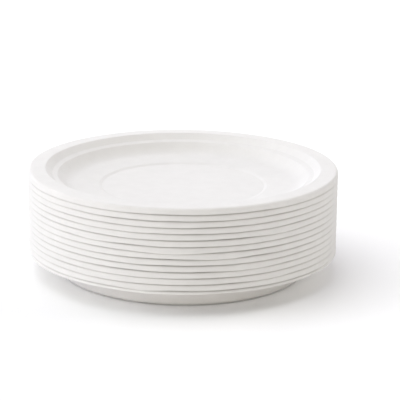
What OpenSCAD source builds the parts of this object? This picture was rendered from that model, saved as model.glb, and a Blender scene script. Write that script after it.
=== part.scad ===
// A stack of round plates in moulded fibre.
// Every plate is one pressed shell of even thickness: a flat disc, a floor that falls from it to
// a flat ring to stand on, a wall, a narrow ledge, a riser, a broad rim and a turned-down lip.
// The plates nest: the lip of each rests on the shoulder of the plate below. The lowest plate is
// deeper than the others, with a steeper wall and a shorter lip.
// Origin: on the surface that the stack stands on, on the axis of the plates, with +Z up.
// Lengths are in millimetres and angles in degrees.

/* [Stack] */
// Number of plates in the stack
plate_count = 14; // [2:1:40]
// Clear gap left between two plates where one rests on the other
seat_gap = 0.08; // [0.04:0.01:0.2]

/* [Plate] */
// Diameter across the lower edge of the lip
plate_d = 260; // [250:1:300]
// Height from the foot to the highest line of the rim
plate_h = 17.6; // [15:0.1:22]
// Extra height of the lowest plate
lowest_extra_h = 4; // [0:0.1:8]
// Thickness of the pressed fibre
shell_t = 0.8; // [0.6:0.05:1.2]

/* [Rim] */
// Width of the rim, from its inner edge to the lower edge of the lip
rim_w = 14.6; // [12:0.1:17]
// Fall of the rim from its inner edge to the shoulder
rim_fall = 0.3; // [0:0.1:0.6]
// Rounding of the rim's inner edge
rim_inner_round = 1.8; // [1:0.1:4]
// Height of the lip, from the highest line of the rim to its lower edge
lip_h = 6.23; // [5:0.01:7]
// The same height on the lowest plate
lowest_lip_h = 4.2; // [3:0.1:7]
// Angle by which the lip leans outwards
lip_draft = 5; // [1:0.5:10]
// Rounding of the shoulder between the rim and the lip
shoulder_round = 2.2; // [1:0.1:2.6]
// Rounding of the two lower edges of the lip
lip_edge_round = 0.25; // [0.1:0.05:0.3]

/* [Ledge and wall] */
// Height of the riser between the ledge and the rim
riser_h = 4.7; // [3:0.1:6]
// Width of the riser, seen from above
riser_w = 5.9; // [4.5:0.1:7.5]
// Rounding between the riser and the ledge
riser_foot_round = 1; // [0.5:0.1:3]
// Width of the ledge, seen from above
ledge_w = 4.3; // [3:0.1:6]
// Fall of the ledge towards the middle
ledge_fall = 1.2; // [0.2:0.1:1.8]
// Rounding of the ledge's inner edge
ledge_inner_round = 1.4; // [1:0.1:3]
// Slope of the wall from level
wall_slope = 43; // [38:1:60]
// Slope of the lowest plate's wall from level
lowest_wall_slope = 85; // [70:1:87]
// Rounding between the wall and the foot ring
wall_foot_round = 6; // [2:0.5:8]
// Rounding between the lowest plate's wall and its foot ring
lowest_wall_foot_round = 4; // [2:0.5:7]

/* [Floor] */
// Width of the flat ring that the plate stands on, inside the rounding of the wall's foot
foot_w = 3; // [2:0.1:5]
// Rounding between the foot ring and the floor inside it
floor_foot_round = 20; // [5:1:30]
// Rise of the floor from the foot ring to the top of the step
floor_rise = 0.9; // [0.8:0.1:2]
// Width of the floor between the foot ring and the step
floor_w = 14.5; // [6:0.5:20]
// Height of the step from the disc up to the floor around it
step_h = 0.7; // [0.4:0.1:0.8]
// Width of that step, seen from above
step_w = 2.4; // [2:0.1:5]
// Rounding of the step's two edges
step_round = 2.2; // [1:0.1:3]

/* [Hidden] */

fibre_white = [0.93, 0.92, 0.9];

// Largest turn between two neighbouring points of a rounding
arc_step = 10;
// Largest share of a straight stretch that the roundings at its ends may take
most_rounded = 0.95;

// Heights of the floor and the disc above the foot
floor_z = shell_t + floor_rise;
disc_z = floor_z - step_h;

// Radii of the lines where the upper face changes its slope
lip_r = plate_d/2;
shoulder_r = lip_r - (lip_h - rim_fall)*tan(lip_draft);
rim_r = lip_r - rim_w;
ledge_outer_r = rim_r - riser_w;
ledge_inner_r = ledge_outer_r - ledge_w;
disc_r = foot_r(plate_h, wall_slope, wall_foot_round) - floor_w - step_w;

// Upper faces of a plate and of the lowest plate
plate_face = upper_face(plate_h, lip_h, wall_slope, wall_foot_round);
lowest_face = upper_face(plate_h + lowest_extra_h, lowest_lip_h, lowest_wall_slope,
    lowest_wall_foot_round);
plate_path = section_path(plate_face);
shoulder_corner = len(plate_face) - 2;
lip_inner_corner = len(plate_face);

// Centres of the shoulder's rounding and of the rounding on the lip's inner lower edge
shoulder_centre = round_centre(plate_path, shoulder_corner);
lip_edge_centre = round_centre(plate_path, lip_inner_corner);
lip_reach = max(0, lip_edge_centre[0] - shoulder_centre[0]);
seat_reach = plate_path[shoulder_corner][2] + plate_path[lip_inner_corner][2] + seat_gap;

// Distance between two plates when the edge of the upper lip rests on the lower shoulder
edge_pitch = shoulder_centre[1] - lip_edge_centre[1]
    + sqrt(max(0, pow(seat_reach, 2) - pow(lip_reach, 2)));

// The same when the lips lean so far out that they slide over each other until their sides touch
side_pitch = (shell_t + seat_gap)/sin(lip_draft);
lip_pitch = lip_reach < seat_reach*cos(lip_draft) ? edge_pitch : side_pitch;

// Distance that the walls need, from the steepest slope of a plate's upper face inside the rim
steepest_slope = max([for (i = [1:shoulder_corner - 1]) slope_to(plate_face, i)]);
wall_pitch = (shell_t + seat_gap)/cos(steepest_slope);

// Distance from one plate to the next: set by the lips, and never less than the walls need
pitch = max(lip_pitch, wall_pitch);

// Name of a plate's node, counted from the bottom of the stack
function plate_name(number) = str("plate_", number < 10 ? "0" : "", number);

// Radius of the sharp corner between the wall and the foot ring
function wall_foot_r(height, slope) =
    ledge_inner_r - (height - riser_h - ledge_fall - shell_t)/tan(slope);

// Radius of the foot ring's inner edge
function foot_r(height, slope, foot_round) =
    wall_foot_r(height, slope) - foot_round*tan(slope/2) - foot_w;

// Upper face of a plate from the axis to the lip's lower edge: [radius, height, rounding] of each corner
function upper_face(height, lip, slope, foot_round) = fitted_roundings([
    [0, disc_z, 0],
    [disc_r, disc_z, step_round],
    [disc_r + step_w, floor_z, step_round],
    [foot_r(height, slope, foot_round), shell_t, floor_foot_round],
    [wall_foot_r(height, slope), shell_t, foot_round],
    [ledge_inner_r, height - riser_h - ledge_fall, ledge_inner_round],
    [ledge_outer_r, height - riser_h, riser_foot_round],
    [rim_r, height, rim_inner_round],
    [shoulder_r, height - rim_fall, shoulder_round],
    [shoulder_r + (lip - rim_fall)*tan(lip_draft), height - lip, lip_edge_round]
]);

// Lower face of a plate from the lip back to the axis, one thickness below the upper face
function lower_face(face) = [for (i = [len(face) - 1:-1:0]) lowered_corner(face, i)];

// Corners of a plate's whole half section, from the axis over the lip and back
function section_path(face) = concat(face, lower_face(face));

function point_at(corners, i) = [corners[i][0], corners[i][1]];

function unit(v) = v/norm(v);

// Direction of the stretch that ends at corner i
function heading(corners, i) = unit(point_at(corners, i) - point_at(corners, i - 1));

// Normal to the left of that stretch, which points up on the upper face
function left_of(corners, i) = [-heading(corners, i)[1], heading(corners, i)[0]];

// Angle of that stretch from level
function slope_to(corners, i) = abs(atan2(heading(corners, i)[1], heading(corners, i)[0]));

// Turn at corner i, above zero to the left
function turn_at(corners, i) =
    let (before = heading(corners, i))
    let (after = heading(corners, i + 1))
    atan2(before[0]*after[1] - before[1]*after[0], before*after);

// Length that the rounding at corner i takes from each stretch beside it; the lip's edge is square
function rounded_length(corners, i) =
    i == 0 ? 0 :
    i == len(corners) - 1 ? corners[i][2] :
    corners[i][2]*tan(abs(turn_at(corners, i))/2);

// Share of their full size for which the stretch that ends at corner i has room
function room_share(corners, i) =
    let (room = most_rounded*norm(point_at(corners, i) - point_at(corners, i - 1)))
    min(1, room/max(room, rounded_length(corners, i - 1) + rounded_length(corners, i)));

// The same corners, with each rounding limited by the stretches beside it
function fitted_roundings(corners) = [
    for (i = [0:len(corners) - 1])
        let (before = i == 0 ? 1 : room_share(corners, i))
        let (after = i == len(corners) - 1 ? 1 : room_share(corners, i + 1))
        [corners[i][0], corners[i][1], corners[i][2]*min(before, after)]
];

// Corner i moved down by one thickness, square to the stretches that meet there
function lowered_corner(corners, i) =
    let (last = len(corners) - 1)
    let (before = left_of(corners, max(i, 1)))
    let (after = left_of(corners, min(i + 1, last)))
    let (p = point_at(corners, i) - (before + after)*shell_t/(1 + before*after))
    let (round_change = i == 0 || i == last ? 0 : sign(turn_at(corners, i))*shell_t)
    [p[0], p[1], max(0, corners[i][2] + round_change)];

// Centre of the rounding at corner i, on the inside of the turn
function round_centre(corners, i) =
    let (side = sign(turn_at(corners, i)))
    let (miter = unit(left_of(corners, i) + left_of(corners, i + 1)))
    point_at(corners, i) + side*miter*corners[i][2]/cos(turn_at(corners, i)/2);

// Points of the rounding at corner i
function rounding_points(corners, i) =
    let (turn = turn_at(corners, i))
    let (centre = round_centre(corners, i))
    let (first = -sign(turn)*left_of(corners, i)*corners[i][2])
    let (steps = ceil(abs(turn)/arc_step))
    [for (k = [0:steps])
        let (a = turn*k/steps)
        centre + [first[0]*cos(a) - first[1]*sin(a), first[0]*sin(a) + first[1]*cos(a)]];

// A path with its corners rounded, where a rounding of 0 leaves a corner sharp
function rounded_path(corners) = [
    for (i = [0:len(corners) - 1])
        each corners[i][2] == 0 ? [point_at(corners, i)] : rounding_points(corners, i)
];

// Half section of a plate, with its foot at height 0
module plate_section(face) {
    polygon(rounded_path(section_path(face)));
}

// One plate, in its place in the stack
module plate(number) {
    lowest = number == 1;
    color(fibre_white)
        translate([0, 0, lowest ? 0 : lowest_extra_h + (number - 1)*pitch])
            rotate_extrude($fn = 96)
                plate_section(lowest ? lowest_face : plate_face);
}

for (i = [1:plate_count]) {
    plate(i);
}
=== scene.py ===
import math
import random
from collections import namedtuple

import bpy
from mathutils import Matrix, Vector


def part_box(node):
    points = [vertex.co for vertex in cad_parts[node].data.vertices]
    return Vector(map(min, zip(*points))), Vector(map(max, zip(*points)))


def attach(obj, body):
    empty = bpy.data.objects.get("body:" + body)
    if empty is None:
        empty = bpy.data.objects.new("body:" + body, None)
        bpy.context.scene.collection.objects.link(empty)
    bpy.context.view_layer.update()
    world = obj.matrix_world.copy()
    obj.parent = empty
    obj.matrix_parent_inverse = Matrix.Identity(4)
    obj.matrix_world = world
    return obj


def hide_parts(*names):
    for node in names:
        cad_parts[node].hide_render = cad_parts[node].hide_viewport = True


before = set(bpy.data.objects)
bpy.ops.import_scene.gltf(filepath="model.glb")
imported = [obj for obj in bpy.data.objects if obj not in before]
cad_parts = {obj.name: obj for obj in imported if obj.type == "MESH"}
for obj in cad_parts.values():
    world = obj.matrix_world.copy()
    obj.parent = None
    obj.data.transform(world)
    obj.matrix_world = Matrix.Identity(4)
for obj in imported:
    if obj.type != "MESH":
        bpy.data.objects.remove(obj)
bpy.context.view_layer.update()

# A stack of round plates in moulded fibre, one turned mesh for each plate of the frame.
# Lengths in the lists of sizes below are in millimetres, as in the part's source.
MM = 0.001

# Sizes that the lowest plate and the others don't share. Only the lowest has a ring to stand on,
# and the foot of its wall is lifted above the ring.
Form = namedtuple("Form", "height lip_height wall_slope wall_foot_round foot_width foot_lift")
PLATE = Form(17.6, 6.23, math.radians(43), 16.0, 0.0, 0.0)
LOWEST_PLATE = Form(21.6, 4.2, math.radians(85), 3.0, 6.0, 0.9)

# Sizes that all plates share
PLATE_RADIUS = 130.0
SHELL = 0.8
RIM_WIDTH = 14.6
RIM_FALL = 0.3
RIM_INNER_ROUND = 1.8
LIP_DRAFT = math.radians(5)
SHOULDER_ROUND = 2.2
LIP_EDGE_ROUND = 0.25
RISER_HEIGHT = 4.7
RISER_WIDTH = 5.9
RISER_FOOT_ROUND = 1.0
LEDGE_WIDTH = 4.3
LEDGE_FALL = 1.2
LEDGE_INNER_ROUND = 1.4
FLOOR_FOOT_ROUND = 20.0
FLOOR_SLOPE = math.radians(4)
DISC_HEIGHT = 1.0
DISC_RADIUS = 67.9
STEP_HEIGHT = 1.0
STEP_WIDTH = 2.6
STEP_ROUND = 1.2

# How finely the section is drawn
ARC_STEP = math.radians(9)
LONGEST_STRETCH = 4.0
TURNS = 256
MERGE_DISTANCE = 0.01

# Slight unevenness of the pressed rims: they sag and are drawn in, so they stay in the frame's box.
# It starts at the even radius and is full at the uneven radius.
EVEN_RADIUS = 105.0
UNEVEN_RADIUS = 119.0
RIM_SAG = 0.25
RIM_INSET = 0.4
# The lips, outside this radius, are cut a little short of their full height, by this range
LIP_RADIUS = 120.0
LIP_CUT = (0.9, 1.5)
# Share of the cut that is missing at the left and right sides of the stack
SIDE_SHARE = 0.45
# How finely the waves of the rim and of the cut follow each other round a plate
WAVES_ROUND = 1.1
LIP_WAVES_ROUND = 2.6
# Places in the noise for the three kinds of waves, and how far apart two plates' places may be
SAG_WAVES = 0.0
INSET_WAVES = 40.0
CUT_WAVES = 80.0
SEED_SPAN = 30.0
SEED = 7
# Places where a lip almost closes on the plate below: number: (bearing and half width in degrees, share)
CLOSED = {
    10: (-53.0, 16.0, 0.7),
    9: (-123.0, 12.0, 0.7),
    8: (-93.0, 18.0, 0.75),
    7: (-76.0, 13.0, 0.6),
    5: (-65.0, 18.0, 0.5),
    3: (-58.0, 16.0, 0.5),
    2: (-104.0, 11.0, 0.7),
}
NOWHERE_CLOSED = (0.0, 1.0, 0.0)

# Range that the values of a noise are spread from
NOISE_RANGE = (0.3, 0.7)

# Inputs of the geometry nodes that are the same for all plates
SHARED_INPUTS = {
    "Plate radius": PLATE_RADIUS * MM,
    "Even radius": EVEN_RADIUS * MM,
    "Uneven radius": UNEVEN_RADIUS * MM,
    "Rim sag": RIM_SAG * MM,
    "Rim inset": RIM_INSET * MM,
    "Waves round": WAVES_ROUND,
    "Lip radius": LIP_RADIUS * MM,
    "Least cut": LIP_CUT[0] * MM,
    "Most cut": LIP_CUT[1] * MM,
    "Lip waves round": LIP_WAVES_ROUND,
    "Side share": SIDE_SHARE,
}

# Pressed fibre: colours, sizes of its clouds, fibres and relief, and ranges of tone and roughness
LIGHT_FIBRE = (0.82, 0.81, 0.795, 1)
DARK_FIBRE = (0.79, 0.78, 0.765, 1)
FIBRE_SPECULAR = 0.3
CLOUD_SIZE = 12.0
FIBRE_SIZE = 0.7
RELIEF = 0.02
CLOUD_SHARE = 0.6
TONE_RANGE = (0.38, 0.68)
ROUGHNESS_RANGE = (0.72, 0.92)
# Scale along a fibre, where the scale across it is 1
FIBRE_STRETCH = 0.22

# Floor: half of its side in metres, its grain, two tones and roughness
FLOOR_HALF_SIDE = 4.0
FLOOR_GRAIN_SCALE = 60.0
FLOOR_DARK = (0.97, 0.97, 0.97, 1)
FLOOR_LIGHT = (0.985, 0.985, 0.985, 1)
FLOOR_ROUGHNESS = 0.9
# Share of plain white that the camera sees added to the floor
FLOOR_LIFT = 0.065
WHITE = (1.0, 1.0, 1.0, 1)

# Camera of the photograph: distance and range of view in metres, height angle, turn, target and lens
CAMERA_DISTANCE = 1.56
CLIP_START = 0.05
CLIP_END = 30.0
CAMERA_ELEVATION = math.radians(16.6)
CAMERA_ROLL = math.radians(0.5)
TARGET = Vector((0.0, 0.0, 0.039))
IMAGE_SIDE = 400
TARGET_PIXEL = (182.75, 222.4)
PIXELS_PER_RADIUS = 153.66
SENSOR = 36.0

# Broad soft lamps: name, bearing, elevation and spread in degrees, and light on a surface that faces them
LAMPS = [
    ("low_behind", 90, 8, 40, (0.314, 0.306, 0.309)),
    ("low_left", 180, 8, 40, (0.358, 0.357, 0.398)),
    ("low_front", 270, 8, 40, (0.362, 0.342, 0.310)),
    ("right_behind", 22, 30, 50, (0.375, 0.363, 0.343)),
    ("high_behind", 90, 60, 80, (0.116, 0.115, 0.160)),
    ("high_left", 180, 60, 80, (0.694, 0.700, 0.686)),
]


def corners_of_floor(form, ledge_inner_r, ledge_inner_z):
    """Corners between the step round the disc and the wall, which comes down from the ledge."""
    floor_r = DISC_RADIUS + STEP_WIDTH
    floor_z = DISC_HEIGHT + STEP_HEIGHT
    steepness = math.tan(form.wall_slope)
    if form.foot_width:
        wall_foot_z = SHELL + form.foot_lift
        wall_foot_r = ledge_inner_r - (ledge_inner_z - wall_foot_z) / steepness
        foot_r = wall_foot_r - form.wall_foot_round * math.tan(form.wall_slope / 2) - form.foot_width
        return [(foot_r, SHELL, FLOOR_FOOT_ROUND), (wall_foot_r, wall_foot_z, form.wall_foot_round)]
    # Where the wall's line meets the line of the sloping floor
    rise = math.tan(FLOOR_SLOPE)
    apart = ledge_inner_r * steepness - ledge_inner_z + floor_z - floor_r * rise
    wall_foot_r = apart / (steepness - rise)
    return [(wall_foot_r, floor_z + (wall_foot_r - floor_r) * rise, form.wall_foot_round)]


def corners_of_upper_face(form):
    """Corners of a plate's upper face from the axis to the lip's edge: (radius, height, rounding)."""
    rim_r = PLATE_RADIUS - RIM_WIDTH
    ledge_outer_r = rim_r - RISER_WIDTH
    ledge_outer_z = form.height - RISER_HEIGHT
    ledge_inner_r = ledge_outer_r - LEDGE_WIDTH
    ledge_inner_z = ledge_outer_z - LEDGE_FALL
    shoulder_r = PLATE_RADIUS - (PLATE.lip_height - RIM_FALL) * math.tan(LIP_DRAFT)
    lip_r = shoulder_r + (form.lip_height - RIM_FALL) * math.tan(LIP_DRAFT)
    return [
        (0.0, DISC_HEIGHT, 0.0),
        (DISC_RADIUS, DISC_HEIGHT, STEP_ROUND),
        (DISC_RADIUS + STEP_WIDTH, DISC_HEIGHT + STEP_HEIGHT, STEP_ROUND),
        *corners_of_floor(form, ledge_inner_r, ledge_inner_z),
        (ledge_inner_r, ledge_inner_z, LEDGE_INNER_ROUND),
        (ledge_outer_r, ledge_outer_z, RISER_FOOT_ROUND),
        (rim_r, form.height, RIM_INNER_ROUND),
        (shoulder_r, form.height - RIM_FALL, SHOULDER_ROUND),
        (lip_r, form.height - form.lip_height, LIP_EDGE_ROUND),
    ]


def heading(corners, i):
    """Direction of the stretch that ends at corner i."""
    start = Vector(corners[i - 1][:2])
    end = Vector(corners[i][:2])
    return (end - start).normalized()


def left_of(direction):
    return Vector((-direction.y, direction.x))


def turn_between(before, after):
    """Angle from one direction to the next, above zero to the left."""
    return math.atan2(before.x * after.y - before.y * after.x, before.dot(after))


def lowered(corners):
    """The same face one shell thickness lower, with roundings that keep the thickness even."""
    last = len(corners) - 1
    moved = []
    for i, (radius, height, rounding) in enumerate(corners):
        before = heading(corners, max(i, 1))
        after = heading(corners, min(i + 1, last))
        normals = left_of(before) + left_of(after)
        point = Vector((radius, height)) - normals * SHELL / (1 + before.dot(after))
        if 0 < i < last:
            rounding += math.copysign(SHELL, turn_between(before, after))
        moved.append((point.x, point.y, max(0.0, rounding)))
    return moved


def rounded(corners):
    """Points along a path, with an arc at each corner that has a rounding."""
    points = []
    for i, (x, y, rounding) in enumerate(corners):
        corner = Vector((x, y))
        if rounding == 0:
            points.append(corner)
            continue
        before = heading(corners, i)
        after = heading(corners, i + 1)
        turn = turn_between(before, after)
        side = math.copysign(1, turn)
        miter = (left_of(before) + left_of(after)).normalized()
        centre = corner + miter * side * rounding / math.cos(turn / 2)
        first = left_of(before) * -side * rounding
        steps = math.ceil(abs(turn) / ARC_STEP)
        for step in range(steps + 1):
            points.append(centre + Matrix.Rotation(turn * step / steps, 2) @ first)
    return points


def with_points_between(points):
    """The same line, with long stretches divided so that the rims can bend."""
    divided = [points[0]]
    for start, end in zip(points, points[1:]):
        parts = max(1, math.ceil((end - start).length / LONGEST_STRETCH))
        for part in range(1, parts + 1):
            divided.append(start.lerp(end, part / parts))
    return divided


def plate_section(form):
    """Half section of a plate as (radius, height) points, from the axis over the lip and back."""
    upper = corners_of_upper_face(form)
    return with_points_between(rounded(upper + lowered(upper)[::-1]))


class Tree:
    """A node tree that is built by short calls."""

    def __init__(self, tree):
        self.tree = tree

    def add(self, kind, inputs=None, **settings):
        """A node with its settings, and with its inputs linked or set, by name or number."""
        node = self.tree.nodes.new(kind)
        for name, value in settings.items():
            setattr(node, name, value)
        for key, value in (inputs or {}).items():
            if isinstance(value, bpy.types.NodeSocket):
                self.tree.links.new(value, node.inputs[key])
            else:
                node.inputs[key].default_value = value
        return node

    def math(self, operation, a, b=0.0, c=0.0):
        return self.add("ShaderNodeMath", {0: a, 1: b, 2: c}, operation=operation).outputs[0]

    def vector_math(self, operation, a, b=(0.0, 0.0, 0.0)):
        return self.add("ShaderNodeVectorMath", {0: a, 1: b}, operation=operation).outputs[0]

    def socket(self, name, kind, in_out="INPUT", value=None):
        made = self.tree.interface.new_socket(name, in_out=in_out, socket_type="NodeSocket" + kind)
        if value is not None:
            made.default_value = value


def lathe_tree():
    """Turns a half section into a plate, bends its rim a little and cuts its lip unevenly."""
    t = Tree(bpy.data.node_groups.new("turned_plate", "GeometryNodeTree"))
    t.socket("Section", "Geometry")
    t.socket("Turns", "Int", value=TURNS)
    for name, value in SHARED_INPUTS.items():
        t.socket(name, "Float", value=value)
    for name in ("Lip start", "Lip edge", "Closed bearing", "Closed half width", "Closed share", "Seed"):
        t.socket(name, "Float")
    t.socket("Material", "Material")
    t.socket("Plate", "Geometry", in_out="OUTPUT")
    given = t.add("NodeGroupInput").outputs

    profile = t.add("GeometryNodeMeshToCurve", {"Mesh": given["Section"]}).outputs["Curve"]
    circle = t.add("GeometryNodeCurvePrimitiveCircle",
                   {"Resolution": given["Turns"], "Radius": given["Plate radius"]}).outputs["Curve"]
    turned = t.add("GeometryNodeCurveToMesh", {"Curve": circle, "Profile Curve": profile}).outputs["Mesh"]

    place = t.add("GeometryNodeInputPosition").outputs["Position"]
    flat = t.vector_math("MULTIPLY", place, (1.0, 1.0, 0.0))
    radius = t.add("ShaderNodeVectorMath", {0: flat}, operation="LENGTH").outputs["Value"]
    outward = t.vector_math("NORMALIZE", flat)
    share = t.add("ShaderNodeMapRange",
                  {"Value": radius, "From Min": given["Even radius"], "From Max": given["Uneven radius"]},
                  interpolation_type="SMOOTHSTEP").outputs["Result"]

    def waves(offset, scale, least=0.0, most=1.0):
        seed = t.math("ADD", given["Seed"], offset)
        noise = t.add("ShaderNodeTexNoise", {"Vector": outward, "W": seed, "Scale": scale, "Detail": 1.0},
                      noise_dimensions="4D").outputs[0]
        return t.add("ShaderNodeMapRange",
                     {"Value": noise, "From Min": NOISE_RANGE[0], "From Max": NOISE_RANGE[1],
                      "To Min": least, "To Max": most}).outputs["Result"]

    parts = t.add("ShaderNodeSeparateXYZ", {0: outward}).outputs
    bearing = t.math("ARCTAN2", parts["Y"], parts["X"])
    turned_by = t.math("SUBTRACT", bearing, given["Closed bearing"])
    away = t.math("ABSOLUTE", t.math("WRAP", turned_by, math.pi, -math.pi))
    closed = t.add("ShaderNodeMapRange",
                   {"Value": away, "From Min": given["Closed half width"], "From Max": 0.0,
                    "To Max": given["Closed share"]}, interpolation_type="SMOOTHSTEP").outputs["Result"]
    sag = t.math("MULTIPLY", waves(SAG_WAVES, given["Waves round"]), given["Rim sag"])
    full_inset = t.math("MULTIPLY", waves(INSET_WAVES, given["Waves round"]), given["Rim inset"])
    inset = t.math("MULTIPLY", full_inset, share)
    inward = t.add("ShaderNodeVectorMath", {0: outward, "Scale": t.math("MULTIPLY", inset, -1.0)},
                   operation="SCALE").outputs[0]

    height = t.add("ShaderNodeSeparateXYZ", {0: place}).outputs["Z"]
    low = t.add("ShaderNodeMapRange", {"Value": height, "From Min": given["Lip start"],
                                       "From Max": given["Lip edge"]}).outputs["Result"]
    on_lip = t.math("MULTIPLY", low, t.math("GREATER_THAN", radius, given["Lip radius"]))
    full_cut = waves(CUT_WAVES, given["Lip waves round"], given["Least cut"], given["Most cut"])
    sideways = t.math("MULTIPLY", parts["X"], parts["X"])
    left_over = t.math("SUBTRACT", 1.0, t.math("MULTIPLY", sideways, given["Side share"]))
    open_share = t.math("SUBTRACT", 1.0, closed)
    cut = t.math("MULTIPLY", t.math("MULTIPLY", full_cut, left_over), open_share)
    rise = t.math("SUBTRACT", t.math("MULTIPLY", cut, on_lip), t.math("MULTIPLY", sag, share))
    shift = t.vector_math("ADD", inward, t.add("ShaderNodeCombineXYZ", {"Z": rise}).outputs[0])
    bent = t.add("GeometryNodeSetPosition", {"Geometry": turned, "Offset": shift}).outputs[0]

    merged = t.add("GeometryNodeMergeByDistance",
                   {"Geometry": bent, "Distance": MERGE_DISTANCE * MM}).outputs[0]
    smooth = t.add("GeometryNodeSetShadeSmooth", {"Geometry": merged}).outputs[0]
    real = t.add("GeometryNodeRealizeInstances", {"Geometry": smooth}).outputs[0]
    finished = t.add("GeometryNodeSetMaterial", {"Geometry": real, "Material": given["Material"]}).outputs[0]
    t.add("NodeGroupOutput", {"Plate": finished})
    return t.tree


def fibre_group():
    """Pressed plant fibre: cloudy tone, short fibres and a fine relief."""
    t = Tree(bpy.data.node_groups.new("pressed_fibre", "ShaderNodeTree"))
    t.socket("Light fibre", "Color", value=LIGHT_FIBRE)
    t.socket("Dark fibre", "Color", value=DARK_FIBRE)
    t.socket("Cloud size", "Float", value=CLOUD_SIZE * MM)
    t.socket("Fibre size", "Float", value=FIBRE_SIZE * MM)
    t.socket("Relief", "Float", value=RELIEF * MM)
    t.socket("Colour", "Color", in_out="OUTPUT")
    t.socket("Roughness", "Float", in_out="OUTPUT")
    t.socket("Normal", "Vector", in_out="OUTPUT")
    given = t.add("NodeGroupInput").outputs
    place = t.add("ShaderNodeTexCoord").outputs["Object"]

    def noise(size, detail, vector=place):
        scale = t.math("DIVIDE", 1.0, size)
        return t.add("ShaderNodeTexNoise",
                     {"Vector": vector, "Scale": scale, "Detail": detail}).outputs[0]

    clouds = noise(given["Cloud size"], 3.0)
    grain = noise(given["Fibre size"], 2.0)
    along = t.add("ShaderNodeMapping", {"Vector": place, "Scale": (1.0, FIBRE_STRETCH, 1.0)}).outputs[0]
    across = t.add("ShaderNodeMapping", {"Vector": place, "Scale": (FIBRE_STRETCH, 1.0, 1.0)}).outputs[0]
    long_fibres = noise(given["Fibre size"], 1.0, along)
    cross_fibres = noise(given["Fibre size"], 1.0, across)
    fibres = t.math("MAXIMUM", long_fibres, cross_fibres)

    tone = t.math("ADD", t.math("MULTIPLY", clouds, CLOUD_SHARE),
                  t.math("MULTIPLY", fibres, 1 - CLOUD_SHARE))
    pale = t.add("ShaderNodeMapRange",
                 {"Value": tone, "From Min": TONE_RANGE[0], "From Max": TONE_RANGE[1]}).outputs[0]
    colour = t.add("ShaderNodeMix", {0: pale, 6: given["Dark fibre"], 7: given["Light fibre"]},
                   data_type="RGBA").outputs[2]
    rough = t.add("ShaderNodeMapRange",
                  {"Value": grain, "From Min": NOISE_RANGE[0], "From Max": NOISE_RANGE[1],
                   "To Min": ROUGHNESS_RANGE[0], "To Max": ROUGHNESS_RANGE[1]}).outputs[0]
    height = t.math("MULTIPLY", t.math("ADD", grain, fibres), given["Relief"])
    bump = t.add("ShaderNodeBump", {"Height": height, "Strength": 1.0, "Distance": 1.0}).outputs[0]
    t.add("NodeGroupOutput", {"Colour": colour, "Roughness": rough, "Normal": bump})
    return t.tree


def fibre_material(group):
    material = bpy.data.materials.new("moulded_fibre")
    material.use_nodes = True
    t = Tree(material.node_tree)
    shader = t.tree.nodes["Principled BSDF"]
    fibre = t.add("ShaderNodeGroup", node_tree=group)
    t.tree.links.new(fibre.outputs["Colour"], shader.inputs["Base Color"])
    t.tree.links.new(fibre.outputs["Roughness"], shader.inputs["Roughness"])
    t.tree.links.new(fibre.outputs["Normal"], shader.inputs["Normal"])
    shader.inputs["Specular IOR Level"].default_value = FIBRE_SPECULAR
    return material


def floor_material():
    """White paper floor, whose open part the camera sees as plain white."""
    material = bpy.data.materials.new("white_floor")
    material.use_nodes = True
    t = Tree(material.node_tree)
    shader = t.tree.nodes["Principled BSDF"]
    place = t.add("ShaderNodeTexCoord").outputs["Object"]
    grain = t.add("ShaderNodeTexNoise",
                  {"Vector": place, "Scale": FLOOR_GRAIN_SCALE, "Detail": 2.0}).outputs[0]
    tone = t.add("ShaderNodeMix", {0: grain, 6: FLOOR_DARK, 7: FLOOR_LIGHT}, data_type="RGBA").outputs[2]
    t.tree.links.new(tone, shader.inputs["Base Color"])
    shader.inputs["Roughness"].default_value = FLOOR_ROUGHNESS
    shader.inputs["Specular IOR Level"].default_value = 0.0
    seen = t.add("ShaderNodeLightPath").outputs["Is Camera Ray"]
    shader.inputs["Emission Color"].default_value = WHITE
    t.tree.links.new(t.math("MULTIPLY", seen, FLOOR_LIFT), shader.inputs["Emission Strength"])
    return material


def make_plate(number, foot, tree, material, chance):
    """One plate of the stack, turned from its section and left as a plain mesh."""
    form = LOWEST_PLATE if number == 1 else PLATE
    line = bpy.data.meshes.new("plate_section")
    points = plate_section(form)
    # The sweep puts a profile's X outwards from the circle and its Y downwards
    at = [((p.x - PLATE_RADIUS) * MM, -p.y * MM, 0.0) for p in points]
    line.from_pydata(at, [(i, i + 1) for i in range(len(at) - 1)], [])
    base = bpy.data.objects.new("section", line)
    bpy.context.scene.collection.objects.link(base)

    bearing, half_width, share = CLOSED.get(number, NOWHERE_CLOSED)
    values = {
        **SHARED_INPUTS,
        "Turns": TURNS,
        "Lip start": (form.height - RIM_FALL - SHOULDER_ROUND) * MM,
        "Lip edge": (form.height - form.lip_height) * MM,
        "Closed bearing": math.radians(bearing),
        "Closed half width": math.radians(half_width),
        "Closed share": share,
        "Seed": chance.uniform(0.0, SEED_SPAN),
        "Material": material,
    }
    modifier = base.modifiers.new("turned_plate", "NODES")
    modifier.node_group = tree
    for item in tree.interface.items_tree:
        if item.item_type == "SOCKET" and item.in_out == "INPUT" and item.name in values:
            modifier[item.identifier] = values[item.name]
    evaluated = base.evaluated_get(bpy.context.evaluated_depsgraph_get())
    mesh = bpy.data.meshes.new_from_object(evaluated)
    base.modifiers.remove(modifier)
    bpy.data.objects.remove(base)

    mesh.transform(Matrix.Translation((0.0, 0.0, foot)))
    mesh.name = f"fibre_plate_{number:02d}"
    plate = bpy.data.objects.new(mesh.name, mesh)
    bpy.context.scene.collection.objects.link(plate)
    return plate


def make_stack():
    tree = lathe_tree()
    material = fibre_material(fibre_group())
    chance = random.Random(SEED)
    for number, node in enumerate(sorted(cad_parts), start=1):
        plate = make_plate(number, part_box(node)[0].z, tree, material, chance)
        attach(plate, "root")
        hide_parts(node)


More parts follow.
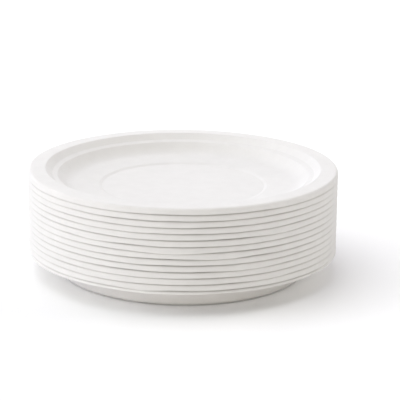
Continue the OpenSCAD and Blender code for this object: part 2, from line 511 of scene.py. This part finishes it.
def make_floor():
    far = FLOOR_HALF_SIDE
    mesh = bpy.data.meshes.new("floor")
    mesh.from_pydata([(-far, -far, 0), (far, -far, 0), (far, far, 0), (-far, far, 0)], [], [(0, 1, 2, 3)])
    floor = bpy.data.objects.new("floor", mesh)
    bpy.context.scene.collection.objects.link(floor)
    mesh.materials.append(floor_material())


def make_light():
    world = bpy.data.worlds.new("studio")
    bpy.context.scene.world = world
    world.use_nodes = True
    t = Tree(world.node_tree)
    sky = t.tree.nodes["Background"]
    rays = t.add("ShaderNodeLightPath").outputs
    passed_on = t.math("MAXIMUM", rays["Is Glossy Ray"], rays["Is Transmission Ray"])
    seen = t.math("MAXIMUM", rays["Is Camera Ray"], passed_on)
    sky.inputs["Color"].default_value = WHITE
    t.tree.links.new(seen, sky.inputs["Strength"])

    for name, bearing, elevation, spread, light in LAMPS:
        sun = bpy.data.lights.new(name, "SUN")
        strength = max(light)
        sun.color = [part / strength for part in light]
        # A sun of strength pi lights a white surface that faces it to exactly white
        sun.energy = strength * math.pi
        sun.angle = math.radians(spread)
        round_z = math.radians(bearing)
        up = math.radians(elevation)
        level = math.cos(up)
        towards = Vector((level * math.cos(round_z), level * math.sin(round_z), math.sin(up)))
        lamp = bpy.data.objects.new(name, sun)
        lamp.rotation_euler = towards.to_track_quat("Z", "Y").to_euler()
        bpy.context.scene.collection.objects.link(lamp)


def make_camera():
    """The photograph's camera: it looks so that the target falls on its pixel, with no shift."""
    data = bpy.data.cameras.new("camera")
    focal = PIXELS_PER_RADIUS * CAMERA_DISTANCE / (PLATE_RADIUS * MM)
    data.sensor_width = SENSOR
    data.lens = focal / IMAGE_SIDE * SENSOR
    data.clip_start = CLIP_START
    data.clip_end = CLIP_END
    camera = bpy.data.objects.new("camera", data)
    bpy.context.scene.collection.objects.link(camera)
    bpy.context.scene.camera = camera

    back = Vector((0.0, -math.cos(CAMERA_ELEVATION), math.sin(CAMERA_ELEVATION)))
    straight = back.to_track_quat("Z", "Y").to_matrix()
    middle = IMAGE_SIDE / 2
    right = (TARGET_PIXEL[0] - middle) / focal
    down = (TARGET_PIXEL[1] - middle) / focal
    turned = straight @ Matrix.Rotation(CAMERA_ROLL, 3, "Z")
    # Turning the view by the target's offset puts the middle of the picture beside the target
    aim = turned @ Matrix.Rotation(math.atan(right), 3, "Y") @ Matrix.Rotation(math.atan(down), 3, "X")
    matrix = aim.to_4x4()
    matrix.translation = TARGET + back * CAMERA_DISTANCE
    camera.matrix_world = matrix


make_camera()
make_stack()
make_floor()
make_light()
bpy.context.scene.view_settings.view_transform = "Standard"
